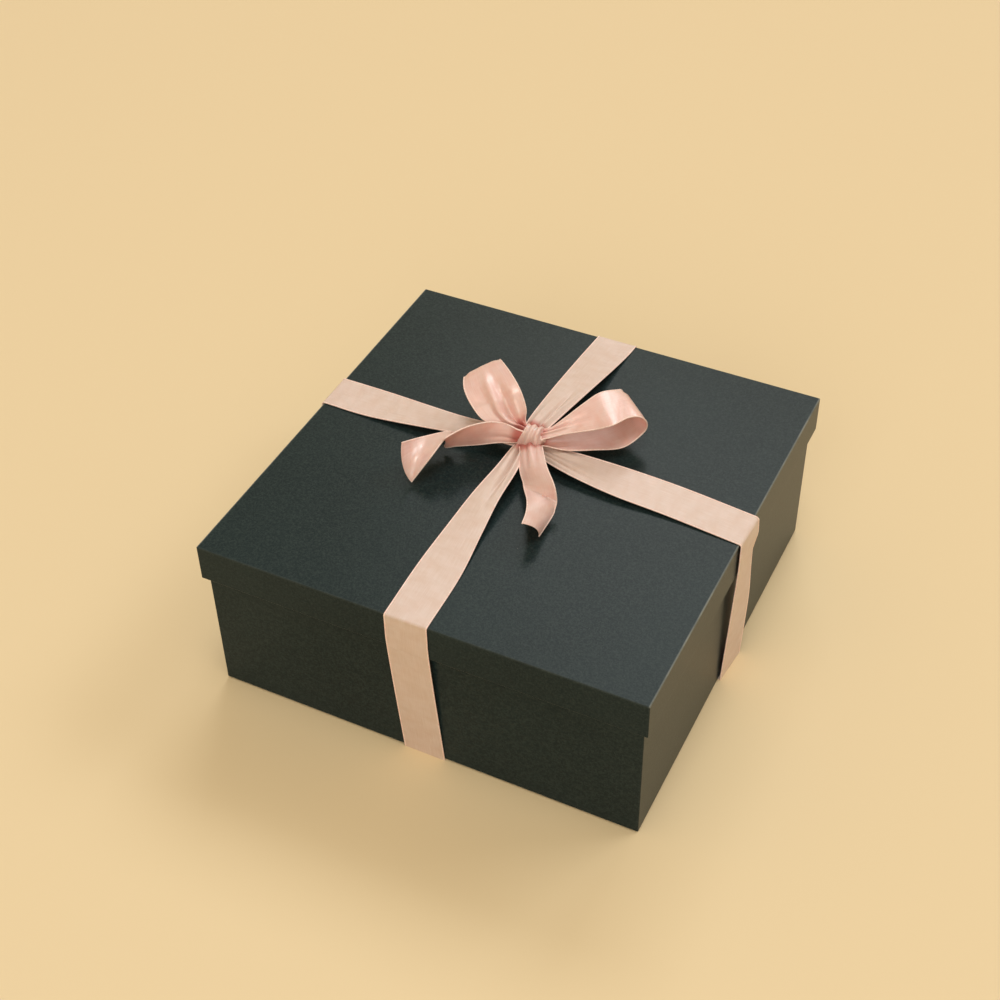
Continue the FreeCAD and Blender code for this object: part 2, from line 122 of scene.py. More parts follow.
def covering_paper(name, half_mm, low_mm, high_mm):
    """Dyed linen-pressed paper: dark, faintly blue-green, half-matt, edges greyed by wear and painted
    highlight.
    """
    material, tree, shader = new_material(name, roughness=0.29, ior=1.2)
    place = add(tree, "ShaderNodeTexCoord").outputs["Object"]
    threads = []
    for fine in range(3):
        scale = [THREAD_RUN] * 3
        scale[fine] = 1.0
        drawn = add(tree, "ShaderNodeMapping", {"Vector": place, "Scale": scale}).outputs["Vector"]
        thread = add(tree, "ShaderNodeTexNoise", {"Vector": drawn, "Scale": 1000 / THREAD_MM, "Detail": 1.0})
        threads.append(thread.outputs["Fac"])
    crossing = add(tree, "ShaderNodeMath", {0: threads[0], 1: threads[1]}, operation="MAXIMUM").outputs[0]
    linen = add(tree, "ShaderNodeMath", {0: crossing, 1: threads[2]}, operation="MAXIMUM").outputs[0]

    mottle = add(tree, "ShaderNodeTexNoise", {"Vector": place, "Scale": 1000 / MOTTLE_MM, "Detail": 3.0})
    dye = add(tree, "ShaderNodeValToRGB", {"Fac": mottle.outputs["Fac"]})
    dye.color_ramp.elements[0].position = 0.3
    dye.color_ramp.elements[0].color = linear("#152326")
    dye.color_ramp.elements[1].position = 0.7
    dye.color_ramp.elements[1].color = linear("#1a292c")
    high = {"Value": linen, "From Min": 0.5, "From Max": 0.75, "To Min": 0.0, "To Max": 0.6}
    tops = add(tree, "ShaderNodeMapRange", high).outputs[0]
    topped = {"Factor": tops, MIX_A: dye.outputs["Color"], MIX_B: linear("#33403f")}
    grain = add(tree, "ShaderNodeMix", topped, data_type="RGBA").outputs[MIX_OUT]

    # Paler edges, partly rubbed wear and partly painted highlight: most along the top of the left and right
    # sides, where the edges catch the light, least along the top of the front and back, some down the corners
    # and along the foot, all broken up into patches.
    apart = add(tree, "ShaderNodeSeparateXYZ", {0: place}).outputs
    sides = []
    for axis, wear_and_highlight in (("X", 1.0), ("Y", 0.12)):
        off = add(tree, "ShaderNodeMath", {0: apart[axis]}, operation="ABSOLUTE").outputs[0]
        near = {"From Min": (half_mm - EDGE_BAND_MM) / 1000, "From Max": half_mm / 1000}
        fade = {"Value": off, **near, "To Min": 0.0, "To Max": wear_and_highlight}
        sides.append(add(tree, "ShaderNodeMapRange", fade).outputs[0])
    top = {"From Min": (high_mm - EDGE_BAND_MM) / 1000, "From Max": high_mm / 1000, "To Min": 0.0, "To Max": 1.0}
    foot = {"From Min": low_mm / 1000, "From Max": (low_mm + EDGE_BAND_MM) / 1000}
    foot |= {"To Min": FOOT_WEAR, "To Max": 0.0}
    ends = [add(tree, "ShaderNodeMapRange", {"Value": apart["Z"], **end}).outputs[0] for end in (top, foot)]
    level = add(tree, "ShaderNodeMath", {0: ends[0], 1: ends[1]}, operation="ADD").outputs[0]
    round_about = add(tree, "ShaderNodeMath", {0: sides[0], 1: sides[1]}, operation="MAXIMUM").outputs[0]
    along = add(tree, "ShaderNodeMath", {0: round_about, 1: level}, operation="MULTIPLY").outputs[0]
    corner = add(tree, "ShaderNodeMath", {0: sides[0], 1: sides[1]}, operation="MULTIPLY").outputs[0]
    corner = add(tree, "ShaderNodeMath", {0: corner, 1: CORNER_WEAR}, operation="MULTIPLY").outputs[0]
    edge = add(tree, "ShaderNodeMath", {0: along, 1: corner}, operation="MAXIMUM").outputs[0]
    patches = {"Vector": place, "Scale": 1000 / RUB_MM, "Detail": 5.0}
    cover = add(tree, "ShaderNodeTexNoise", patches).outputs["Fac"]
    broken = {"Value": cover, "From Min": 0.35, "From Max": 0.7, "To Min": 0.45, "To Max": 1.0}
    patchy = add(tree, "ShaderNodeMapRange", broken).outputs[0]
    # Painted highlight in part: the pale edge colour is rubbed wear and also stands for light caught on the
    # edges.
    rubbed_and_highlit = add(tree, "ShaderNodeMath", {0: edge, 1: patchy}, operation="MULTIPLY").outputs[0]
    paler_wear_and_highlight = {"Factor": rubbed_and_highlit, MIX_A: grain, MIX_B: linear("#a3a8a3")}
    worn_and_highlit = add(tree, "ShaderNodeMix", paler_wear_and_highlight, data_type="RGBA").outputs[MIX_OUT]

    # A few specks of pale dust, each about a millimetre across.
    cells = add(tree, "ShaderNodeTexVoronoi", {"Vector": place, "Scale": 1000 / SPECK_GAP_MM})
    lot = add(tree, "ShaderNodeSeparateColor", {0: cells.outputs["Color"]}).outputs[0]
    chosen = add(tree, "ShaderNodeMath", {0: lot, 1: 1 - SPECK_CHANCE}, operation="GREATER_THAN").outputs[0]
    round_off = {"From Min": SPECK_CORE, "From Max": SPECK_EDGE, "To Min": 0.7, "To Max": 0.0}
    dot = add(tree, "ShaderNodeMapRange", {"Value": cells.outputs["Distance"], **round_off}).outputs[0]
    speck = add(tree, "ShaderNodeMath", {0: chosen, 1: dot}, operation="MULTIPLY").outputs[0]
    specked = {"Factor": speck, MIX_A: worn_and_highlit, MIX_B: linear("#a9aca6")}
    dusty = add(tree, "ShaderNodeMix", specked, data_type="RGBA").outputs[MIX_OUT]
    tree.links.new(dusty, shader.inputs["Base Color"])
    emboss = add(tree, "ShaderNodeBump", {"Height": linen, "Strength": 0.28, "Distance": 0.0002})
    tree.links.new(emboss.outputs["Normal"], shader.inputs["Normal"])
    return material


# Half widths and levels of the covering paper's outside, in millimetres.
LID_HALF = 135.0
LID_TOP = 109.0
SKIRT_FOOT = 85.0
BASE_HALF = 131.9
BASE_FOOT = 0.9
BASE_RIM = 106.1
finish_nodes(["base_wrap"], covering_paper("linen_embossed_paper_base", BASE_HALF, BASE_FOOT, BASE_RIM))
finish_nodes(["lid_wrap"], covering_paper("linen_embossed_paper_lid", LID_HALF, SKIRT_FOOT, LID_TOP))

# Lining paper: plain uncoated sheets that cover the boards inside the tray and under the lid.
# Smooth, matt and a shade lighter than the covering, with a soft paper cloudiness.
lining, tree, shader = new_material("uncoated_lining_paper", roughness=0.75, ior=1.45)
place = add(tree, "ShaderNodeTexCoord").outputs["Object"]
CLOUD_MM = 9.0
cloud = add(tree, "ShaderNodeTexNoise", {"Vector": place, "Scale": 1000 / CLOUD_MM, "Detail": 6.0})
shade = add(tree, "ShaderNodeValToRGB", {"Fac": cloud.outputs["Fac"]})
shade.color_ramp.elements[0].color = linear("#2b302f")
shade.color_ramp.elements[1].color = linear("#363c3a")
tree.links.new(shade.outputs["Color"], shader.inputs["Base Color"])
finish_nodes(["base_floor_lining", "base_wall_lining", "lid_lining"], lining)

# Ribbon under the base and up its walls: single-faced polyester satin, 25 mm wide and 0.35 mm thick.
# The two straps cross on the table, and each leg leans from the foot of the wall out to the lid's skirt.
RIBBON_WIDTH = 25.0
RIBBON_THICK = 0.35
COLUMNS = 49  # points across the ribbon
across = np.linspace(-1.0, 1.0, COLUMNS)
FLOAT_MM = 0.5  # real floats are a fifth of this; drawn coarser to show
FLOAT_RUN = 0.04  # how much a float is drawn out along the ribbon
WRINKLE_MM = 6.0
KNOT = np.array([-1.2, 12.5, 125.0])  # the middle of the knot, in millimetres
PAINTED_SHADE_START, PAINTED_SHADE_REACH = 8.0, 5.0  # how far from there the painted fold shade stays full, and over how much it fades
PAINTED_SHADE_DEPTH = 0.85
CURL_FROM = 0.6  # the share of the half width at which a loop's edges start to roll in


def satin(name, dark, light, roughness, ior, sheen, through_it):
    """Woven polyester: long floats lie along it, so its shine is drawn out across.

    Some light comes through it. Near the knot a deeper pink is painted in as shade, for the folds where
    light passes from ribbon to ribbon.
    """
    material, tree, shader = new_material(name, roughness, ior)
    shader.inputs["Anisotropic"].default_value = 0.4
    shader.inputs["Sheen Weight"].default_value = sheen
    shader.inputs["Sheen Roughness"].default_value = 0.4
    shader.inputs["Sheen Tint"].default_value = linear("#ffe6d8")
    shader.inputs["Subsurface Weight"].default_value = through_it
    shader.inputs["Subsurface Radius"].default_value = (1.0, 0.75, 0.65)
    shader.inputs["Subsurface Scale"].default_value = 0.0009
    cloth = add(tree, "ShaderNodeUVMap", uv_map="cloth").outputs["UV"]
    drawn = add(tree, "ShaderNodeMapping", {"Vector": cloth, "Scale": (1.0, FLOAT_RUN, 1.0)})
    lengthwise = {"Vector": drawn.outputs["Vector"], "Scale": RIBBON_WIDTH / FLOAT_MM, "Detail": 2.0}
    floats = add(tree, "ShaderNodeTexNoise", lengthwise).outputs["Fac"]
    slant = {"Vector": cloth, "Scale": (0.5, 1.0, 1.0), "Rotation": (0, 0, 0.5)}
    slanted = add(tree, "ShaderNodeMapping", slant).outputs["Vector"]
    crumpled = {"Vector": slanted, "Scale": RIBBON_WIDTH / WRINKLE_MM, "Detail": 4.0}
    wrinkles = add(tree, "ShaderNodeTexNoise", crumpled).outputs["Fac"]
    mixed = add(tree, "ShaderNodeMath", {0: floats, 1: wrinkles}, operation="ADD").outputs[0]
    spread = {"Value": mixed, "From Min": 0.75, "From Max": 1.25, "To Min": 0.0, "To Max": 1.0}
    tint = add(tree, "ShaderNodeMapRange", spread).outputs[0]
    woven = {"Factor": tint, MIX_A: linear(dark), MIX_B: linear(light)}
    colour = add(tree, "ShaderNodeMix", woven, data_type="RGBA").outputs[MIX_OUT]
    # Painted shade: a deeper pink painted into the folds near the knot.
    painted_fold_shade = add(tree, "ShaderNodeAttribute", attribute_name="painted_fold_shade").outputs["Fac"]
    painted_shade_mix = {"Factor": painted_fold_shade, MIX_A: colour, MIX_B: linear("#b35850")}
    with_painted_shade = add(tree, "ShaderNodeMix", painted_shade_mix, data_type="RGBA").outputs[MIX_OUT]
    tree.links.new(with_painted_shade, shader.inputs["Base Color"])
    weave = add(tree, "ShaderNodeBump", {"Height": floats, "Strength": 0.1, "Distance": 0.0001})
    soft = {"Height": wrinkles, "Strength": 0.35, "Distance": 0.0009, "Normal": weave.outputs["Normal"]}
    tree.links.new(add(tree, "ShaderNodeBump", soft).outputs["Normal"], shader.inputs["Normal"])
    return material


# The back of the satin: paler and duller than its face.
satin_back = satin(
    "polyester_satin_back",
    dark="#d5beb2",
    light="#ddcac2",
    roughness=0.45,
    ior=1.5,
    sheen=0.1,
    through_it=0.4,
)
edge_lines = {"base": [], "ribbon": []}


def through(points, steps):
    """Points on the smooth curve through the given ones, which keeps straight on past both ends."""
    points = np.asarray(points, float)
    line = np.vstack([2 * points[:1] - points[1:2], points, 2 * points[-1:] - points[-2:-1]])
    share = np.linspace(0.0, 1.0, steps, endpoint=False)[:, None]
    made = []
    for before, start, end, after in zip(line, line[1:], line[2:], line[3:]):
        made.append(
            0.5 * (2 * start + (end - before) * share)
            + 0.5 * (2 * before - 5 * start + 4 * end - after) * share**2
            + 0.5 * (3 * start - before - 3 * end + after) * share**3
        )
    return np.vstack(made + [points[-1:]])


def smoothstep(value):
    """Zero to one with a soft start and a soft end."""
    value = np.clip(value, 0.0, 1.0)
    return value * value * (3 - 2 * value)


def lengths(line):
    """How far along the line each of its points is."""
    return np.concatenate([[0.0], np.cumsum(np.linalg.norm(np.diff(line, axis=0), axis=1))])


def ribbon_grid(stations, steps, hollow=(0.1, 0.1), pleats=(), curl=None, cut=None):
    """Rows of points across a ribbon, in millimetres, from the two edges at each station.

    A ribbon drawn in is hollowed across, so much at its start and its end. A pleat is a ridge or a valley
    that runs out from the knot: its place across at the knot and at its far end, its half width at both,
    its height, its reach, and whether it starts from the last station. A curl rolls the edges in where a
    loop turns over: its share of the length, its reach as a share, and its depth at each edge. A cut trims
    the last row to a curve: so much at one edge, in the middle and at the other edge.
    """
    left = through([a for a, b in stations], steps)
    right = through([b for a, b in stations], steps)
    middle = (left + right) / 2
    along = np.gradient(middle, axis=0)
    out = np.cross(right - left, along)
    out /= np.linalg.norm(out, axis=1)[:, None]
    run = lengths(middle)
    drawn_in = np.maximum(RIBBON_WIDTH - np.linalg.norm(right - left, axis=1), 0.0)
    rise = (np.linspace(*hollow, len(run)) * drawn_in)[:, None] * (1 - across**2)[None, :]
    for near, far, near_wide, far_wide, height, reach, from_end in pleats:
        gone = (run[-1] - run if from_end else run) / reach
        centre = near + (far - near) * np.clip(gone, 0, 1)
        wide = near_wide + (far_wide - near_wide) * np.clip(gone, 0, 1)
        ridge = np.exp(-(((across[None, :] - centre[:, None]) / wide[:, None]) ** 2))
        rise += height * (1 - smoothstep(1.4 * gone - 0.4))[:, None] * ridge
    if curl:
        where, reach, *depths = curl
        turning = 1 - smoothstep(np.abs(run / run[-1] - where) / reach)
        rolled = smoothstep((np.abs(across) - CURL_FROM) / (1 - CURL_FROM))
        depth = np.where(across < 0, depths[0], depths[1]) * rolled
        rise -= turning[:, None] * depth[None, :]
    share = (across / 2 + 0.5)[None, :, None]
    grid = left[:, None] * (1 - share) + right[:, None] * share + out[:, None] * rise[:, :, None]
    if cut:
        trim = cut[1] + (cut[2] - cut[0]) / 2 * across + ((cut[0] + cut[2]) / 2 - cut[1]) * across**2
        for column in range(COLUMNS):
            kept = run * (1 - trim[column] / run[-1])
            grid[:, column] = np.stack([np.interp(kept, run, grid[:, column, k]) for k in range(3)], axis=-1)
    return grid


def flat_grid(stations):
    """Rows of points straight across between the two edges at each station."""
    left, right = (np.array([pair[k] for pair in stations]) for k in (0, 1))
    share = (across / 2 + 0.5)[None, :, None]
    return left[:, None] * (1 - share) + right[:, None] * share


def ribbon_piece(name, grid, cloth, body, nodes, edged=True, painted_shade_depth=PAINTED_SHADE_DEPTH):
    """A sheet of satin from a grid of points, with the cloth's own lengths as its UV map.

    The cloth is one material for both sides, or one for each.
    """
    rows, columns = grid.shape[:2]
    mesh = bpy.data.meshes.new(name)
    corners = np.arange(rows * columns).reshape(rows, columns)
    faces = np.stack(
        [corners[:-1, :-1], corners[:-1, 1:], corners[1:, 1:], corners[1:, :-1]], axis=-1
    ).reshape(-1, 4)
    mesh.from_pydata((grid.reshape(-1, 3) / 1000).tolist(), [], faces.tolist())
    run = lengths(grid[:, columns // 2])
    cloth_u = np.broadcast_to(across[None, :] / 2 + 0.5, (rows, columns))
    cloth_v = np.broadcast_to(run[:, None] / RIBBON_WIDTH, (rows, columns))
    places = np.stack([cloth_u, cloth_v], axis=-1).reshape(-1, 2)
    layer = mesh.uv_layers.new(name="cloth")
    layer.data.foreach_set("uv", places[faces.reshape(-1)].astype(np.float32).reshape(-1))
    mesh.polygons.foreach_set("use_smooth", [True] * len(mesh.polygons))
    ends = np.zeros(len(mesh.edges) * 2, np.int32)
    mesh.edges.foreach_get("vertices", ends)
    row, column = np.divmod(ends.reshape(-1, 2), columns)
    rim = ((row == 0) | (row == rows - 1)).all(axis=1) & (row[:, 0] == row[:, 1])
    rim |= ((column == 0) | (column == columns - 1)).all(axis=1) & (column[:, 0] == column[:, 1])
    mesh.attributes.new("sharp_edge", "BOOLEAN", "EDGE").data.foreach_set("value", rim)
    # Painted shade: how much deeper pink is painted in, fading with distance from the knot.
    off_knot = np.linalg.norm(grid.reshape(-1, 3) - KNOT, axis=1)
    painted_fold_shade = painted_shade_depth * (1 - smoothstep((off_knot - PAINTED_SHADE_START) / PAINTED_SHADE_REACH))
    mesh.attributes.new("painted_fold_shade", "FLOAT", "POINT").data.foreach_set("value", painted_fold_shade.astype(np.float32))
    for side_of_cloth in cloth:
        mesh.materials.append(side_of_cloth)
    piece = bpy.data.objects.new(name, mesh)
    bpy.context.scene.collection.objects.link(piece)
    thick = piece.modifiers.new("thickness", "SOLIDIFY")
    thick.thickness = RIBBON_THICK / 1000
    thick.offset = 0.0
    thick.material_offset = len(cloth) - 1
    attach(piece, body)
    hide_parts(*nodes)
    if edged:
        edge_lines[body] += [grid[:, 0], grid[:, -1]]


FOOT_GAP = 0.3
PART_GAP = 0.1
DRIFT = 1.15  # how a leg's sideways drift builds up towards the foot
SIDES = {"front": (0, -1), "back": (0, 1), "left": (-1, 0), "right": (1, 0)}
# Where a run crosses the lid's edge and the wall's foot, its slack at the edge, and how far off the wall
# its foot is.
RUN_AT = {"front": -3.5, "back": 1.8, "left": 16.4, "right": 6.4}
STRAP_AT = {"front": 1.2, "back": 1.2, "left": 8.0, "right": 3.5}
SLACK = {"front": 0.5, "back": 0.5, "left": 1.0, "right": 1.0}
STAND_OFF = {"front": 0.0, "back": 0.0, "left": 3.0, "right": 0.8}


def station(side, out, sideways, level, width):
    """The two edges of a run on that side, so far out from the middle of the box and so far sideways."""
    x, y = SIDES[side]
    middle = np.array([x * out + abs(y) * sideways, y * out + abs(x) * sideways, level])
    half = np.array([y, -x, 0.0]) * (width / 2)
    return middle - half, middle + half


def foot_out(side):
    """How far out from the middle of the box the ribbon is at the foot of the wall."""
    return BASE_HALF + FOOT_GAP + RIBBON_THICK / 2 + STAND_OFF[side]


LEAN_FROM = SKIRT_FOOT + 6  # the level from which a run leans in
# How far the back edge of the right run stands out beyond its front edge, at each level.
TWIST = {"right": ((0.0, 2.5), (45.0, 2.3), (84.0, -0.6), (99.0, 1.4), (106.0, 1.0))}


def hanging(side, levels):
    """Stations of the run that hangs from the lid's edge to the foot of the wall, at the given levels."""
    made = []
    skirt_out = LID_HALF + SLACK[side] + RIBBON_THICK / 2
    for level in levels:
        fallen = max(1 - level / LEAN_FROM, 0.0)
        out = skirt_out + (foot_out(side) - skirt_out) * fallen
        sideways = RUN_AT[side] + (STRAP_AT[side] - RUN_AT[side]) * fallen**DRIFT
        one, other = station(side, out, sideways, level, RIBBON_WIDTH)
        twist = np.interp(level, *zip(*TWIST.get(side, ((0.0, 0.0),))))
        made.append((one + np.array([*SIDES[side], 0.0]) * twist, other))
    return made


strap_end = foot_out("back") + RIBBON_THICK / 2
flat_strap = [
    station("back", out, STRAP_AT["back"], RIBBON_THICK / 2, RIBBON_WIDTH)
    for out in (-strap_end, 0, strap_end)
]
ribbon_piece(
    "strap_front_back",
    ribbon_grid(flat_strap, 20),
    [satin_back],
    "base",
    ["ribbon_strap_front_back"],
    edged=False,
)
# The second strap climbs over the first where they cross.
CLIMB = RIBBON_THICK + PART_GAP
ends = (-foot_out("left") - RIBBON_THICK / 2, foot_out("right") + RIBBON_THICK / 2)
climbing = []
for out, rise in ((ends[0], 0), (-60, 0), (-16, 0), (-12, 1), (13, 1), (17, 0), (60, 0), (ends[1], 0)):
    sideways = np.interp(out, ends, (STRAP_AT["left"], STRAP_AT["right"]))
    climbing.append(station("right", out, sideways, RIBBON_THICK / 2 + rise * CLIMB, RIBBON_WIDTH))
climbing[-1][0][0] += TWIST["right"][0][1]
ribbon_piece(
    "strap_left_right",
    flat_grid(climbing),
    [satin_back],
    "base",
    ["ribbon_strap_left_right"],
    edged=False,
)
for side in SIDES:
    falling = hanging(side, (SKIRT_FOOT - PART_GAP, 72, 50, 25, RIBBON_THICK + PART_GAP))
    ribbon_piece(
        f"ribbon_leg_{side}_cloth",
        ribbon_grid(falling, 10),
        [satin_back],
        "base",
        [f"ribbon_leg_{side}"],
    )

# Ribbon over the lid: four runs of the same satin, gathered under the knot and flat towards the edge.
# Front and back are pulled tight over the edge; left and right are looser and bow out a little.
LID_GAP = 0.3
LAY = LID_TOP + LID_GAP + RIBBON_THICK / 2
BEND_LEAD = 0.3  # between the last row of the arm and the start of the bend
BEND = {"front": 1.2, "back": 1.2, "left": 1.8, "right": 1.8}
# Out from the knot's middle, sideways from it, rise off the lid, width.
TUCK = {
    "front": (5, -3.2, 9.25, 8),
    "back": (7.7, 0.6, 13.5, 11),
    "left": (5, 1, 7.95, 9),
    "right": (4.5, -0.5, 8.15, 9),
}
# Share of the way to the lid's edge, sideways from the knot, rise off the lid, width.
GATHER = {
    "front": [
        (0.07, -3.4, 8.8, 9),
        (0.18, -2.4, 9.2, 12),
        (0.34, -3.8, 7, 15.5),
        (0.51, -4.3, 3, 20),
        (0.73, -3.6, 0.3, 25),
    ],
    "back": [(0.1, 1, 16, 14), (0.4, 1.6, 11, 19), (0.75, 1.7, 3, 23.5), (0.92, 2.4, 0.3, 25)],
    "left": [(0.065, 1, 7.95, 11), (0.19, 2.5, 6.8, 13), (0.39, 1, 5.5, 16), (0.76, 3, 0.9, 24.5)],
    "right": [(0.085, -0.5, 6, 12), (0.22, -1, 4.5, 19), (0.43, -2, 3, 24), (0.68, -2.5, 1.2, 25)],
}
# Place across at the knot and far end, half width at both, height, reach, and whether from the far end.
PLEATS = {
    "front": [
        (-0.15, -0.35, 0.22, 0.16, -3.0, 60, False),
        (-0.6, -0.75, 0.2, 0.16, 1.6, 60, False),
        (0.45, 0.3, 0.3, 0.25, 0.9, 45, False),
    ],
    "back": [
        (0.15, 0.35, 0.18, 0.14, -2.2, 55, False),
        (0.55, 0.7, 0.22, 0.18, 1.6, 60, False),
        (-0.5, -0.4, 0.2, 0.2, 1.0, 40, False),
    ],
    "left": [(0.3, 0.4, 0.2, 0.2, 1.2, 50, False), (-0.35, -0.3, 0.18, 0.18, -1.2, 50, False)],
    "right": [
        (0.3, 0.55, 0.14, 0.12, -2.0, 48, False),
        (0.7, 0.8, 0.2, 0.16, 1.2, 50, False),
        (-0.2, -0.1, 0.2, 0.2, -1.0, 42, False),
        (-0.6, -0.5, 0.2, 0.25, 0.8, 45, False),
    ],
}
for side, (x, y) in SIDES.items():
    knot_out = KNOT[0] * x + KNOT[1] * y
    knot_side = KNOT[0] * abs(y) + KNOT[1] * abs(x)
    skirt_out = LID_HALF + SLACK[side] + RIBBON_THICK / 2
    bend_out = skirt_out - BEND[side]
    way = bend_out - BEND_LEAD - knot_out
    rows = [TUCK[side]] + [(way * share, *rest) for share, *rest in GATHER[side]]
    stations = [
        station(side, knot_out + out, knot_side + sideways, LAY + rise, width)
        for out, sideways, rise, width in rows
    ]
    stations.append(station(side, knot_out + way, RUN_AT[side], LAY, RIBBON_WIDTH))
    arm = ribbon_grid(stations, 12, pleats=PLEATS[side])
    drop = []
    fall = hanging(side, (LAY - BEND[side], 99, 93, SKIRT_FOOT))
    for turn in np.linspace(0, math.pi / 2, 9)[1:-1]:
        out = bend_out + BEND[side] * math.sin(turn)
        level = LAY - BEND[side] * (1 - math.cos(turn))
        one, other = station(side, out, RUN_AT[side], level, RIBBON_WIDTH)
        bulge = (fall[0][0] - fall[0][1]) @ np.array([x, y, 0.0]) * math.sin(turn)
        drop.append((one + np.array([x, y, 0.0]) * bulge, other))
    ribbon_piece(
        f"ribbon_run_{side}",
        np.concatenate([arm, flat_grid(drop), ribbon_grid(fall, 6)]),
        [satin_back],
        "ribbon",
        [f"ribbon_arm_{side}", f"ribbon_drop_{side}"],
    )

# Bow: two loops and two tails of the same ribbon, squeezed into pleats where the knot's band holds them.
# Each station below is the ribbon's two edges, in millimetres from the middle of the knot.
BAND_END = 6.3
LOOP_LEFT = [
    ((-BAND_END + 3, -3, 1.5), (-BAND_END + 3, 3.5, 3)),
    ((-BAND_END - 4, -4, 2.6), (-BAND_END + 0.6, 6, 5.4)),
    ((-25, -6.5, 6.5), (-6.0, 7.6, 12.2)),
    ((-34, -4.5, 12.5), (-12, 12.5, 20)),
    ((-43, 3, 16.5), (-22.5, 21, 23.5)),
    ((-50.5, 16, 15), (-35, 32.5, 21.5)),
    ((-51, 19.5, 8), (-33, 33.5, 13)),
    ((-45, 15.5, 2), (-24, 25.5, 6)),
    ((-31, 9.5, -1), (-13, 15.5, 2)),
    ((-BAND_END - 4, -0.5, -1.6), (-BAND_END - 3, 6, -0.2)),
    ((-BAND_END + 3, -2, -1.5), (-BAND_END + 3, 4.5, -0.5)),
]
LOOP_RIGHT = [
    ((BAND_END - 3, 4.5, 3), (BAND_END - 3, -5, 0.5)),
    ((BAND_END + 3, 6.5, 3), (BAND_END + 4, -1, 1.6)),
    ((15, 12.5, 7), (20.5, 5.5, 4)),
    ((23, 24.5, 13), (36, 11, 8.5)),
    ((29, 34, 16), (45.5, 14.2, 12.8)),
    ((36, 42.5, 14.5), (50.5, 26.5, 11)),
    ((37.2, 47.5, 12), (56, 31.5, 9.5)),
    ((37.5, 51.5, 6.5), (58.5, 35.5, 2.5)),
    ((38.5, 48, -1), (56.5, 35, -5)),
    ((31, 37.5, -6), (49, 22.5, -9)),
    ((21, 23.5, -7), (35, 13.5, -9)),
    ((13, 11.5, -4.5), (21, 4, -7)),
    ((BAND_END + 3, 6, -2.6), (BAND_END + 4, -1.2, -3.8)),
    ((BAND_END - 3, 4.5, -2), (BAND_END - 3, -5, -3.5)),
]
TAIL_LEFT = [
    ((0, -2.5, -3), (1.5, -2.5, 3.5)),
    ((-7, -5, -4.2), (-5.5, -4, 5)),
    ((-15, -10, -3.4), (-14.5, -4, 6.5)),
    ((-26.5, -12, -7.5), (-22.5, -10, 9)),
    ((-38, -17.5, -8.5), (-31.5, -18.5, 8.5)),
    ((-46.5, -17.5, -12), (-37, -31, 9)),
    ((-44, -11.5, -4.5), (-40.5, -32.5, 4)),
    ((-56, -24, -3), (-42, -43, 1)),
    ((-59.4, -48.7, 9.3), (-51.8, -53.4, -16.3)),
]
TAIL_FRONT = [
    ((-4.6, -3.5, -5.5), (9.5, -3.5, -2.5)),
    ((4.5, -22.5, -6), (21.5, -23.5, 3)),
    ((11, -31.5, -7), (30.5, -34, 2.5)),
    ((12.6, -34.2, -7), (33.5, -37, -1)),
    ((15, -38, -6.4), (34.6, -38, -7)),
    ((21.3, -48.1, -2.8), (34.9, -41.1, -10.3)),
    ((26.1, -59.2, -0.5), (35.3, -45.2, -11.8)),
    ((28.8, -70.1, 1.1), (35.7, -63.4, -11.4)),
]
# The face of the satin shines and is full pink. Its other side is dull, in the same pink painted a little
# deeper: painted reflection of the face that lies across from it.
satin_face = satin(
    "polyester_satin_face",
    dark="#e3bbb4",
    light="#eacac5",
    roughness=0.3,
    ior=1.85,
    sheen=0.25,
    through_it=0.9,
)
# Painted reflection: the inside's slightly deeper pink.
satin_inside = satin(
    "polyester_satin_inside",
    dark="#e3b6ae",
    light="#eac5bf",
    roughness=0.55,
    ior=1.4,
    sheen=0.1,
    through_it=0.9,
)
# Stations, pleats, curl, cut and hollow of each piece.
BOW = {
    "bow_loop_left": (
        LOOP_LEFT,
        [
            (-0.22, 0.06, 0.16, 0.2, 2.2, 62, False),
            (0.18, 0.4, 0.2, 0.22, -3.0, 48, False),
            (0.65, 0.55, 0.3, 0.3, 0.9, 50, False),
        ],
        (0.49, 0.18, 1.1, 0.9),
        None,
        (0.1, 0.1),
    ),
    "bow_loop_right": (
        LOOP_RIGHT,
        [
            (0.35, 0.3, 0.18, 0.22, 1.1, 38, False),
            (-0.05, 0.0, 0.18, 0.22, -1.4, 40, False),
            (-0.5, -0.4, 0.2, 0.25, 0.9, 34, False),
            (0.3, 0.4, 0.2, 0.2, 1.2, 36, True),
            (-0.2, -0.2, 0.2, 0.2, -1.0, 34, True),
        ],
        (0.5, 0.14, 1.4, 0.3),
        None,
        (0.1, 0.1),
    ),
    "bow_tail_left": (
        TAIL_LEFT,
        [(-0.35, -0.3, 0.22, 0.25, -0.8, 30, False)],
        None,
        (3, 0, 3),
        (0.1, 0.1),
    ),
    "bow_tail_front": (
        TAIL_FRONT,
        [(0.4, 0.35, 0.2, 0.2, 1.2, 30, False), (-0.35, -0.3, 0.2, 0.2, 1.0, 30, False)],
        None,
        (0, 0.5, 0),
        (-0.36, -0.32),
    ),
}
for node, (offsets, pleats, curl, cut, hollow) in BOW.items():
    stations = [(KNOT + np.array(a), KNOT + np.array(b)) for a, b in offsets]
    grid = ribbon_grid(stations, 14, hollow, pleats, curl, cut)
    # The loops carry the shiny side out. The tails come out of the knot the other way round.
    cloth = [satin_face, satin_inside] if "loop" in node else [satin_inside, satin_face]
    ribbon_piece(f"{node}_cloth", grid, cloth, "ribbon", [node])

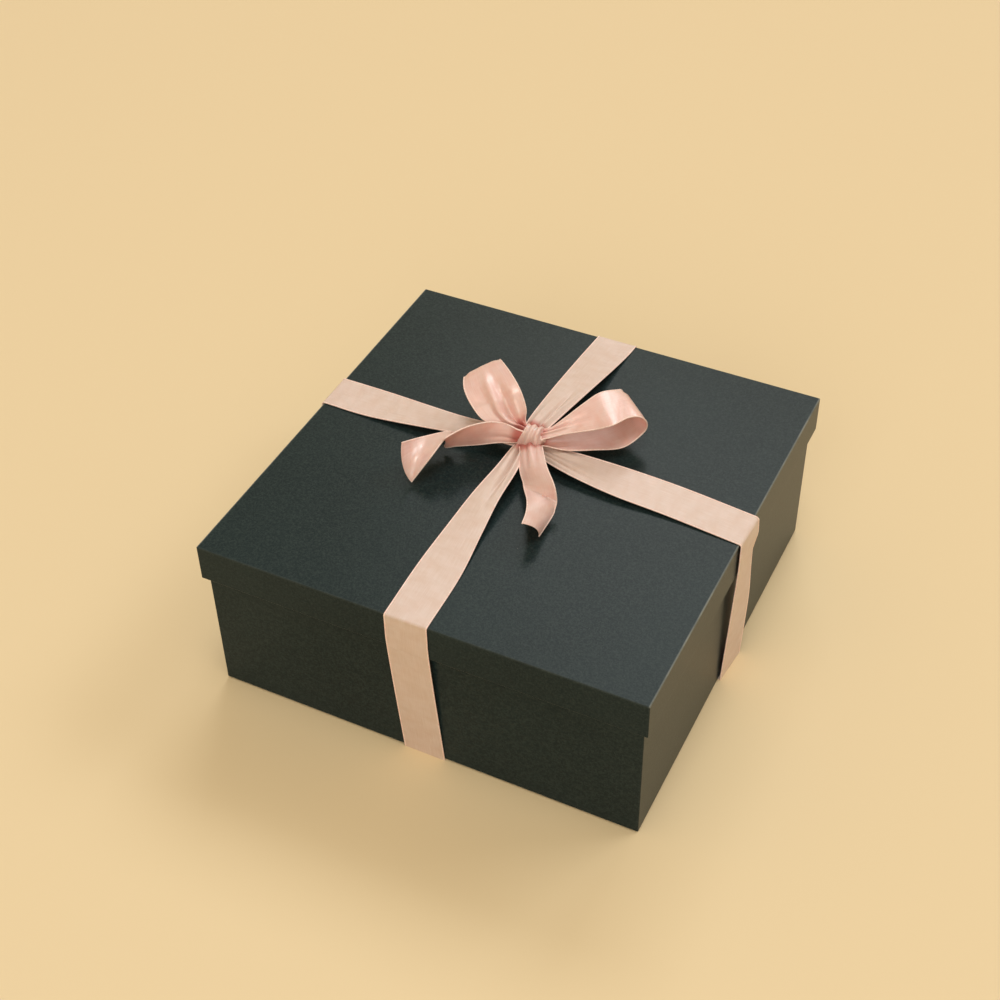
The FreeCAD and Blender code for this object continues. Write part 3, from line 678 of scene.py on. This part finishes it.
# Knot: a short length of the ribbon drawn tight round the middle, so that it lies in lengthwise pleats.
# It leans a little, and is wider below, where the front tail comes out of it.
KNOT_RADIUS = 6.0
PLEAT_HEIGHT = 0.6
PLEAT_COUNT = 2.6
PLEAT_SHIFT = 0.9
TOP_HALF, LOW_WIDER = 5.2, 4.2
TOP_ASIDE = 2.5
EDGE_DIP, EDGE_FROM = 3.4, 0.8
LOW_TILT, LOW_SAG = 4.2, 1.5
FRONT_END, FRONT_FADE = 2.8, 0.7  # radians from the top, over the front
turns = np.linspace(0, math.tau, 97)
band = np.zeros((len(turns), COLUMNS, 3))
pleat = PLEAT_HEIGHT * np.cos(across * math.pi * PLEAT_COUNT + PLEAT_SHIFT) * (1 - np.abs(across) ** 4)
dip = EDGE_DIP * smoothstep((np.abs(across) - EDGE_FROM) / (1 - EDGE_FROM))
radius = KNOT_RADIUS + pleat - dip
for row, turn in enumerate(turns):
    low = math.sin(turn / 2) ** 2
    in_front = 1 - smoothstep((turn - FRONT_END) / FRONT_FADE)
    band[row, :, 0] = KNOT[0] + across * (TOP_HALF + LOW_WIDER * low) + TOP_ASIDE * (1 - low)
    band[row, :, 1] = KNOT[1] - radius * math.sin(turn)
    band[row, :, 2] = KNOT[2] + radius * math.cos(turn) + (LOW_TILT * across - LOW_SAG) * low * in_front
ribbon_piece(
    "bow_knot_band",
    band,
    [satin_face],
    "ribbon",
    ["bow_knot"],
    painted_shade_depth=0.0,
)

# Selvedge: the ribbon's two woven edges, where the weft turns back round a thicker thread.
# It stands as a fine bead along each edge and catches the light. It is paler than the satin between:
# partly its own colour, partly a painted highlight along the edges.
selvedge, tree, shader = new_material("polyester_selvedge", roughness=0.5, ior=1.5)
place = add(tree, "ShaderNodeTexCoord").outputs["Object"]
TURN_MM = 1.2
BEAD_RADIUS_MM = 0.45
BEAD_SIDES = 6
turns_back = add(tree, "ShaderNodeTexNoise", {"Vector": place, "Scale": 1000 / TURN_MM, "Detail": 2.0})
# Painted highlight in part: the bead's near-white colour.
bead_and_painted_highlight = add(tree, "ShaderNodeValToRGB", {"Fac": turns_back.outputs["Fac"]})
bead_and_painted_highlight.color_ramp.elements[0].position = 0.3
bead_and_painted_highlight.color_ramp.elements[0].color = linear("#f4cfc4")
bead_and_painted_highlight.color_ramp.elements[1].position = 0.7
bead_and_painted_highlight.color_ramp.elements[1].color = linear("#feece5")
tree.links.new(bead_and_painted_highlight.outputs["Color"], shader.inputs["Base Color"])
knobbly = {"Height": turns_back.outputs["Fac"], "Strength": 0.3, "Distance": 0.0001}
tree.links.new(add(tree, "ShaderNodeBump", knobbly).outputs["Normal"], shader.inputs["Normal"])

woven = bpy.data.node_groups.new("woven_selvedge", "GeometryNodeTree")
woven.interface.new_socket("Edge lines", in_out="INPUT", socket_type="NodeSocketGeometry")
thread_radius = woven.interface.new_socket("Thread radius", in_out="INPUT", socket_type="NodeSocketFloat")
thread_sides = woven.interface.new_socket("Thread sides", in_out="INPUT", socket_type="NodeSocketInt")
woven.interface.new_socket("Selvedge", in_out="OUTPUT", socket_type="NodeSocketGeometry")
given = add(woven, "NodeGroupInput").outputs
line = add(woven, "GeometryNodeMeshToCurve", {"Mesh": given["Edge lines"]}).outputs["Curve"]
ring = add(
    woven,
    "GeometryNodeCurvePrimitiveCircle",
    {"Resolution": given["Thread sides"], "Radius": given["Thread radius"]},
).outputs["Curve"]
thread = add(woven, "GeometryNodeCurveToMesh", {"Curve": line, "Profile Curve": ring, "Fill Caps": True})
whole = add(woven, "GeometryNodeRealizeInstances", {"Geometry": thread.outputs["Mesh"]})
named = add(woven, "GeometryNodeSetMaterial", {"Geometry": whole.outputs["Geometry"], "Material": selvedge})
add(woven, "NodeGroupOutput", {"Selvedge": named.outputs["Geometry"]})
for body, lines in edge_lines.items():
    points = np.concatenate(lines) / 1000
    joins = []
    first = 0
    for one in lines:
        joins += [(k, k + 1) for k in range(first, first + len(one) - 1)]
        first += len(one)
    mesh = bpy.data.meshes.new(f"selvedge_{body}")
    mesh.from_pydata(points.tolist(), joins, [])
    piece = bpy.data.objects.new(f"selvedge_{body}", mesh)
    bpy.context.scene.collection.objects.link(piece)
    weave = piece.modifiers.new("selvedge", "NODES")
    weave.node_group = woven
    weave[thread_radius.identifier] = BEAD_RADIUS_MM / 1000
    weave[thread_sides.identifier] = BEAD_SIDES
    made = piece.evaluated_get(bpy.context.evaluated_depsgraph_get())
    finished = bpy.data.meshes.new_from_object(made)
    piece.modifiers.clear()
    piece.data = finished
    finished.polygons.foreach_set("use_smooth", [True] * len(finished.polygons))
    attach(piece, body)

# Stage: a seamless sheet of matt cream paper, under soft light from behind, above and in front.
# The world is a dim warm room. Seen straight or in a reflection it is the cream of the paper.
FLOOR_HALF_M = 6.0
floor_corners = [(FLOOR_HALF_M * x, FLOOR_HALF_M * y, 0) for x, y in ((-1, -1), (1, -1), (1, 1), (-1, 1))]
floor_mesh = bpy.data.meshes.new("floor")
floor_mesh.from_pydata(floor_corners, [], [(0, 1, 2, 3)])
floor = bpy.data.objects.new("floor", floor_mesh)
bpy.context.scene.collection.objects.link(floor)
cream, tree, shader = new_material("cream_background_paper", roughness=0.9, ior=1.4)
shader.inputs["Base Color"].default_value = linear("#e6d3ac")
floor_mesh.materials.append(cream)

world = bpy.data.worlds.new("studio")
bpy.context.scene.world = world
world.use_nodes = True
tree = world.node_tree
light = tree.nodes["Background"]
light.inputs["Color"].default_value = linear("#ffdfae")
light.inputs["Strength"].default_value = 0.36
wall = add(tree, "ShaderNodeBackground", {"Color": linear("#ecd2a5"), "Strength": 1.0})
path = add(tree, "ShaderNodeLightPath")
straight = path.outputs["Is Camera Ray"]
for kind in ("Is Glossy Ray", "Is Transmission Ray"):
    either = {0: straight, 1: path.outputs[kind]}
    straight = add(tree, "ShaderNodeMath", either, operation="MAXIMUM").outputs[0]
seen = add(tree, "ShaderNodeMixShader", {0: straight, 1: light.outputs[0], 2: wall.outputs[0]})
tree.links.new(seen.outputs[0], tree.nodes["World Output"].inputs["Surface"])

# The key lamp behind at the right and the window behind make the shadows, and the window shines on the
# lid. One lamp overhead and one in front fill. Each row: name, colour, direction, distance, width and
# depth in metres, watts.
for name, colour, toward, away, wide, deep, power in (
    ("key", "#f7faff", (0.48, 0.54, 0.69), 14.0, 7.0, 3.7, 385.0),
    ("window", "#f7faff", (-0.135, 0.672, 0.728), 13.0, 6.0, 4.1, 430.0),
    ("overhead", "#fffaf2", (0.08, -0.12, 0.99), 8.0, 2.8, 2.8, 185.0),
    ("front", "#fffaf2", (0.2, -0.81, 0.55), 5.0, 3.3, 3.3, 80.0),
):
    lamp = bpy.data.lights.new(name, "AREA")
    lamp.color = linear(colour)[:3]
    lamp.shape = "RECTANGLE"
    lamp.size = wide
    lamp.size_y = deep
    lamp.energy = power
    lamp_object = bpy.data.objects.new(name, lamp)
    toward = Vector(toward).normalized()
    lamp_object.location = Vector((0, 0, 0.08)) + toward * away
    lamp_object.rotation_mode = "QUATERNION"
    lamp_object.rotation_quaternion = toward.to_track_quat("Z", "Y")
    bpy.context.scene.collection.objects.link(lamp_object)
bpy.context.scene.view_settings.view_transform = "Standard"

# Camera: it looks down on the box from the front right, with a lens a little longer than the eye.
# Its place, turn and lens follow from the corners of the lid and the foot of the box.
CAMERA_AT = Vector((0.317560, -0.655384, 0.750740))
CAMERA_TURN = (47.57205, 0.85446, 26.11147)  # tilt, roll and heading, in degrees
camera = bpy.data.cameras.new("camera")
camera.sensor_width = 36.0
camera.lens = 60.48
camera_object = bpy.data.objects.new("camera", camera)
turned = Euler([math.radians(angle) for angle in CAMERA_TURN])
camera_object.matrix_world = Matrix.LocRotScale(CAMERA_AT, turned, None)
bpy.context.scene.collection.objects.link(camera_object)
bpy.context.scene.camera = camera_object
